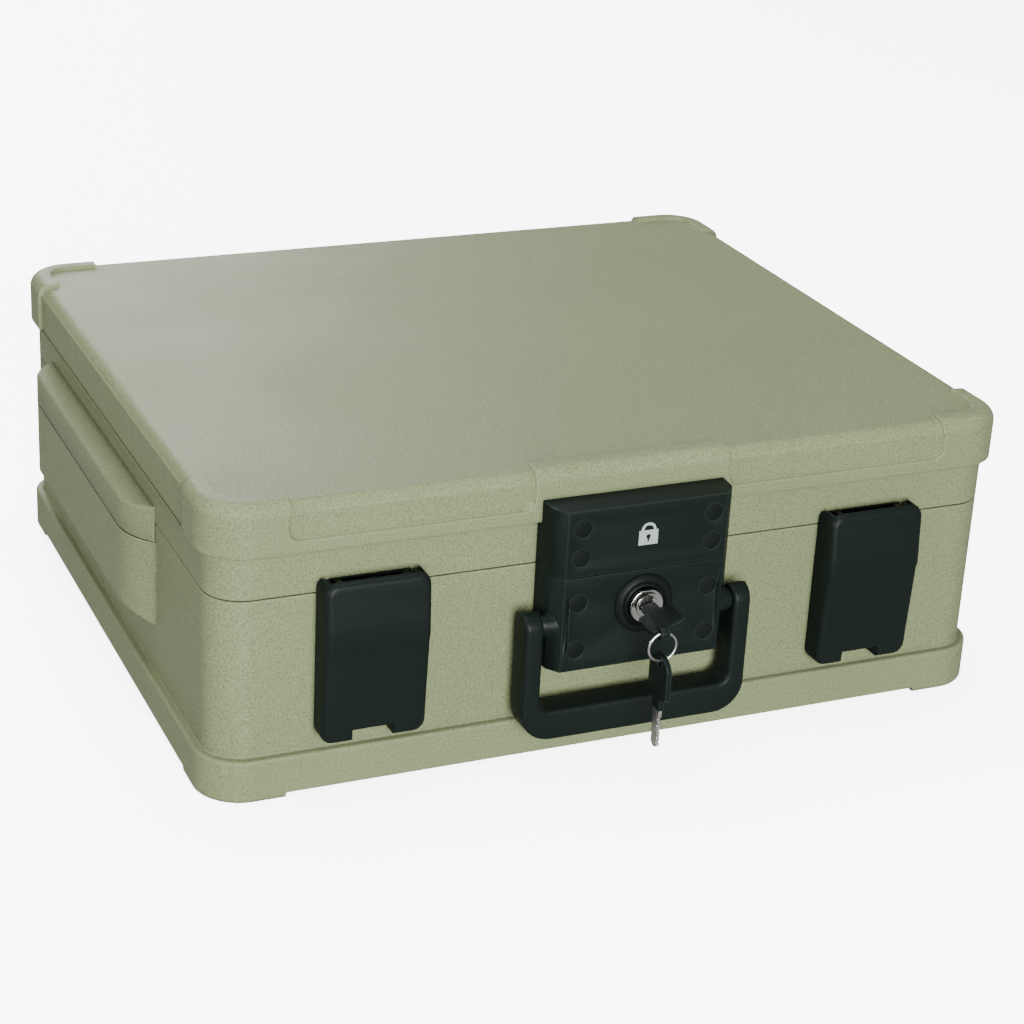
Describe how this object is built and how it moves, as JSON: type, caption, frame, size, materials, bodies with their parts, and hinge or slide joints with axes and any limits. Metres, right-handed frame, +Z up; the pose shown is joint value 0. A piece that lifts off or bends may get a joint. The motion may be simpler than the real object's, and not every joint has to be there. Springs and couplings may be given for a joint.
{
  "type": "fireproof document box",
  "caption": "Insulated moulded document chest with a hinged lid, draw latches, key lock, swinging carry handle and a spare key on a ring.",
  "frame": {"origin": "on the surface the feet stand on, under the middle of the moulded shells", "axes": "+X right as seen from the front, +Y towards the hinges at the back, +Z up"},
  "size_m": [0.524, 0.506, 0.182],
  "materials": {
    "shell": "fine pebble grain, satin",
    "liner": "smooth matt",
    "insulation": "rough cast mineral fill",
    "black_plastic": "satin, fine grain",
    "plug_plastic": "satin",
    "gasket": "matt",
    "steel": "zinc plated",
    "lock_chrome": "bright, lightly brushed",
    "badge_print": "printed"
  },
  "bodies": {
    "base": {"base_shell": "shell", "base_insulation": "insulation", "base_liner": "liner", "lock_housing": "black_plastic", "housing_plugs": "plug_plastic", "housing_screws": "steel", "lock_collar": "plug_plastic", "lock_cylinder": "lock_chrome", "lock_nut": "steel", "handle_pivot_pins": "steel", "latch_keeper_left": "steel", "latch_keeper_right": "steel", "keeper_screws": "steel", "hinge_base_leaf_left": "steel", "hinge_base_leaf_right": "steel", "hinge_pin_left": "steel", "hinge_pin_right": "steel", "hinge_base_screws": "steel"},
    "lid": {"lid_shell": "shell", "lid_insulation": "insulation", "lid_liner": "liner", "lid_gasket": "gasket", "lock_cover": "black_plastic", "cover_plugs": "plug_plastic", "cover_screws": "steel", "lock_strike": "steel", "strike_screws": "steel", "badge": "badge_print", "latch_bracket_left": "steel", "latch_bracket_right": "steel", "bracket_screws": "steel", "latch_pin_left": "steel", "latch_pin_right": "steel", "hinge_lid_leaf_left": "steel", "hinge_lid_leaf_right": "steel", "hinge_lid_screws": "steel"},
    "left_latch": {"latch_left": "black_plastic"},
    "right_latch": {"latch_right": "black_plastic"},
    "handle": {"carry_handle": "black_plastic"},
    "plug": {"lock_plug": "lock_chrome", "lock_cam": "steel", "cam_screw": "steel"},
    "key": {"key_bow": "black_plastic", "key_blade": "steel"},
    "ring": {"key_ring": "steel"},
    "spare_key": {"spare_key_bow": "black_plastic", "spare_key_blade": "steel"}
  },
  "joints": [
    {"name": "lid_hinge", "type": "hinge", "parent": "base", "child": "lid", "pos_m": [0, 0.2165, 0.12375], "axis": [-1, 0, 0], "range_deg": [0, 100]},
    {"name": "latch_left_hinge", "type": "hinge", "parent": "lid", "child": "left_latch", "pos_m": [-0.1575, -0.2192, 0.1275], "axis": [-1, 0, 0], "range_deg": [0, 90]},
    {"name": "latch_right_hinge", "type": "hinge", "parent": "lid", "child": "right_latch", "pos_m": [0.1575, -0.2192, 0.1275], "axis": [-1, 0, 0], "range_deg": [0, 90]},
    {"name": "handle_lift", "type": "hinge", "parent": "base", "child": "handle", "pos_m": [0, -0.2273, 0.092], "axis": [-1, 0, 0], "range_deg": [0, 80]},
    {"name": "key_turn", "type": "hinge", "parent": "base", "child": "plug", "pos_m": [0, -0.231, 0.1025], "axis": [0, -1, 0], "range_deg": [0, 90]},
    {"name": "key_pull", "type": "slide", "parent": "plug", "child": "key", "axis": [0, -1, 0], "range_m": [0, 0.045]},
    {"name": "ring_swing", "type": "hinge", "parent": "key", "child": "ring", "pos_m": [-0.005, -0.2735, 0.101], "axis": [-1, 0, 0], "range_deg": [0, 112]},
    {"name": "spare_key_roll", "type": "hinge", "parent": "ring", "child": "spare_key", "pos_m": [-0.005, -0.2735, 0.0925], "axis": [0, -1, 0], "range_deg": [-90, 0]}
  ],
  "couplings": [
    {"joint": "ring_swing", "follows": "handle_lift", "ratio": 1.35},
    {"joint": "spare_key_roll", "follows": "key_turn", "ratio": -1}
  ]
}
